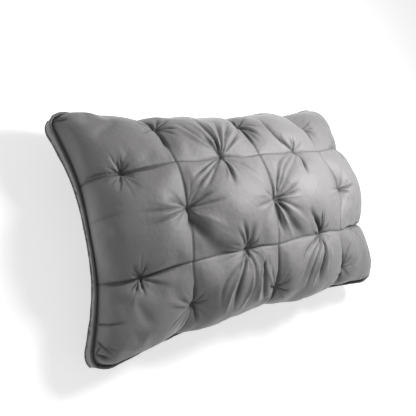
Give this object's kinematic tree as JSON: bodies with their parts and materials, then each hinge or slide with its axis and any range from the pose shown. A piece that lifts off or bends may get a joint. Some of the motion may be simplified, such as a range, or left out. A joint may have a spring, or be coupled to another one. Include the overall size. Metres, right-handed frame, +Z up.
{
  "type": "feather pillow insert",
  "caption": "Quilted feather pillow insert lying on its back: a crowned front panel of sewn cells with a pinched pleat in each seam, a narrow side band and piping.",
  "frame": {"origin": "middle of the pillow's outline, on the surface it lies on", "axes": "+X along its length, +Y across its width, +Z up out of its front panel"},
  "size_m": [0.7266, 0.4632, 0.2377],
  "materials": {
    "cover": "satin",
    "band": "satin",
    "piping": "satin"
  },
  "bodies": {
    "root": {"filled_cushion": "cover", "side_band": "band", "front_piping": "piping", "back_piping": "piping"}
  },
  "joints": []
}
